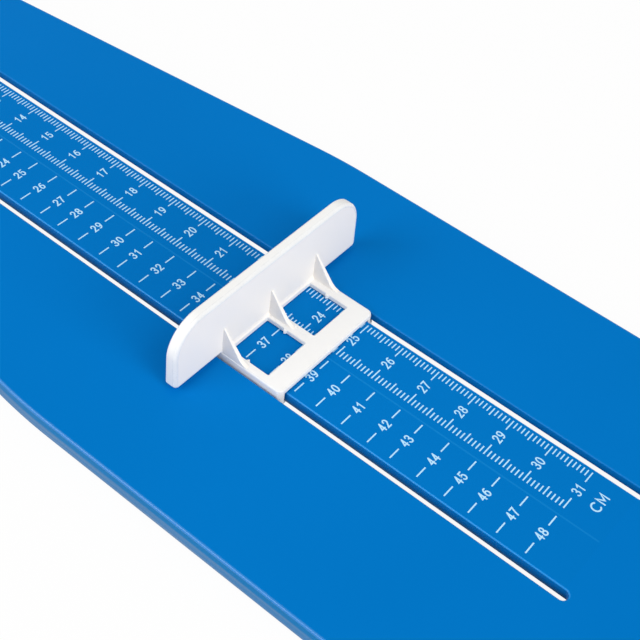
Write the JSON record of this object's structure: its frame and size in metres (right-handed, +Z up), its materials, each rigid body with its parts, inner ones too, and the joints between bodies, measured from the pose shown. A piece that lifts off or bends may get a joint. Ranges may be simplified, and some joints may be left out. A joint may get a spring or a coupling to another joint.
{
  "type": "foot measuring device",
  "caption": "Flat board with a heel cup and a slotted ruler strip; a slider with an upright fence runs along it to read foot length and shoe size.",
  "frame": {"origin": "Centre of the bounding box in plan, at the level the rubber feet rest on.", "axes": "+X runs along the board from the heel cup to the toe end, +Y across the board to the left of someone looking from heel to toe, +Z up."},
  "size_m": [0.3564, 0.109, 0.0361],
  "materials": {
    "board": "blue moulded plastic, satin to glossy",
    "slider": "white moulded plastic, satin",
    "feet": "dark grey soft rubber, matt"
  },
  "bodies": {
    "base": {"base_board": "board", "rubber_foot_1": "feet", "rubber_foot_2": "feet", "rubber_foot_3": "feet", "rubber_foot_4": "feet", "rubber_foot_5": "feet", "rubber_foot_6": "feet"},
    "slider": {"slider": "slider", "slider_keeper": "slider"}
  },
  "joints": [
    {"name": "slider_slide", "type": "slide", "parent": "base", "child": "slider", "axis": [1, 0, 0], "range_m": [-0.1277, 0.0723]}
  ]
}
